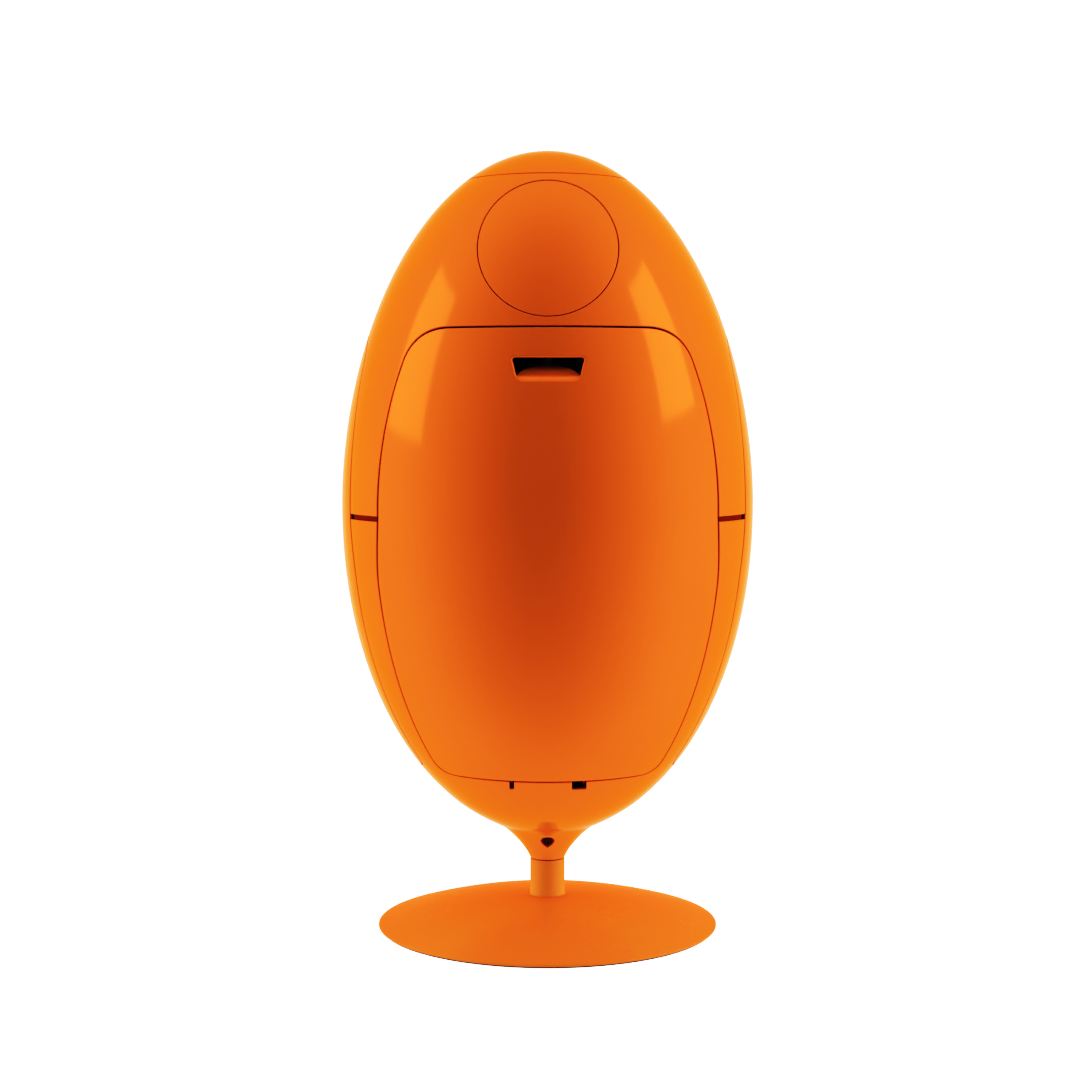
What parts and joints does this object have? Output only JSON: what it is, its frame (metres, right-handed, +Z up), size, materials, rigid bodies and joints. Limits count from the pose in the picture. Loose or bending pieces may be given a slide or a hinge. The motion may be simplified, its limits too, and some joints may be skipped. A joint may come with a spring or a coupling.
{
  "type": "pedestal recycling bin",
  "caption": "Glossy egg-shaped recycling bin on a slim post and round base, with tilting doors, round push flaps, inner compartments and a hand press under the top cap.",
  "frame": {"origin": "on the floor, under the middle of the post", "axes": "+Z up the post, -Y out of the front door, +X to the right of someone facing the front door"},
  "size_m": [0.5, 0.5, 0.946],
  "materials": {
    "gloss_orange": "gloss",
    "painted_orange": "semi-gloss",
    "grey_plastic": "satin",
    "pale_plastic": "satin",
    "steel": "brushed",
    "black_rubber": "matte",
    "black_nylon": "satin"
  },
  "bodies": {
    "base": {"base_disc": "painted_orange", "base_pad_ring": "black_rubber", "post_tube": "painted_orange", "post_spigot": "steel", "post_washer": "steel", "post_bolt": "steel", "thrust_washer": "black_nylon"},
    "egg": {"lower_shell": "gloss_orange", "upper_shell": "gloss_orange", "swivel_bush": "black_nylon", "neck_screw": "steel", "floor_tray": "grey_plastic", "centre_column": "pale_plastic", "press_anvil": "grey_plastic", "press_chamber": "pale_plastic", "press_guide": "black_nylon", "partition_front": "pale_plastic", "rib_rail_front": "gloss_orange", "bag_ring_front": "grey_plastic", "catch_magnet_front": "grey_plastic", "flap_pin_front": "steel", "flap_spring_front": "steel", "partition_right": "pale_plastic", "rib_rail_right": "gloss_orange", "bag_ring_right": "grey_plastic", "catch_magnet_right": "grey_plastic", "flap_pin_right": "steel", "flap_spring_right": "steel", "partition_left": "pale_plastic", "rib_rail_left": "gloss_orange", "bag_ring_left": "grey_plastic", "catch_magnet_left": "grey_plastic", "flap_pin_left": "steel", "flap_spring_left": "steel"},
    "press": {"press_cap": "gloss_orange", "press_rod": "steel", "press_plate": "steel"},
    "front_door": {"door_front": "gloss_orange", "catch_plate_front": "steel"},
    "front_flap": {"flap_front": "gloss_orange"},
    "right_door": {"door_right": "gloss_orange", "catch_plate_right": "steel"},
    "right_flap": {"flap_right": "gloss_orange"},
    "left_door": {"door_left": "gloss_orange", "catch_plate_left": "steel"},
    "left_flap": {"flap_left": "gloss_orange"}
  },
  "joints": [
    {"name": "egg_swivel", "type": "hinge", "parent": "base", "child": "egg", "pos_m": [0, 0, 0.084], "axis": [0, 0, 1], "continuous": true},
    {"name": "press_slide", "type": "slide", "parent": "egg", "child": "press", "axis": [0, 0, 1], "range_m": [0, 0.25]},
    {"name": "front_door_hinge", "type": "hinge", "parent": "egg", "child": "front_door", "pos_m": [0, -0.1588, 0.2034], "axis": [1, 0, 0], "range_deg": [0, 55]},
    {"name": "front_flap_hinge", "type": "hinge", "parent": "egg", "child": "front_flap", "pos_m": [0, -0.11, 0.884], "axis": [1, 0, 0], "range_deg": [0, 45], "stiffness_Nm_per_rad": 0.06, "springref_deg": -91.67},
    {"name": "right_door_hinge", "type": "hinge", "parent": "egg", "child": "right_door", "pos_m": [0.13753, 0.0794, 0.2034], "axis": [-0.5, 0.866, 0], "range_deg": [0, 55]},
    {"name": "right_flap_hinge", "type": "hinge", "parent": "egg", "child": "right_flap", "pos_m": [0.09526, 0.055, 0.884], "axis": [-0.5, 0.866, 0], "range_deg": [0, 45], "stiffness_Nm_per_rad": 0.06, "springref_deg": -91.67},
    {"name": "left_door_hinge", "type": "hinge", "parent": "egg", "child": "left_door", "pos_m": [-0.13753, 0.0794, 0.2034], "axis": [-0.5, -0.866, 0], "range_deg": [0, 55]},
    {"name": "left_flap_hinge", "type": "hinge", "parent": "egg", "child": "left_flap", "pos_m": [-0.09526, 0.055, 0.884], "axis": [-0.5, -0.866, 0], "range_deg": [0, 45], "stiffness_Nm_per_rad": 0.06, "springref_deg": -91.67}
  ]
}
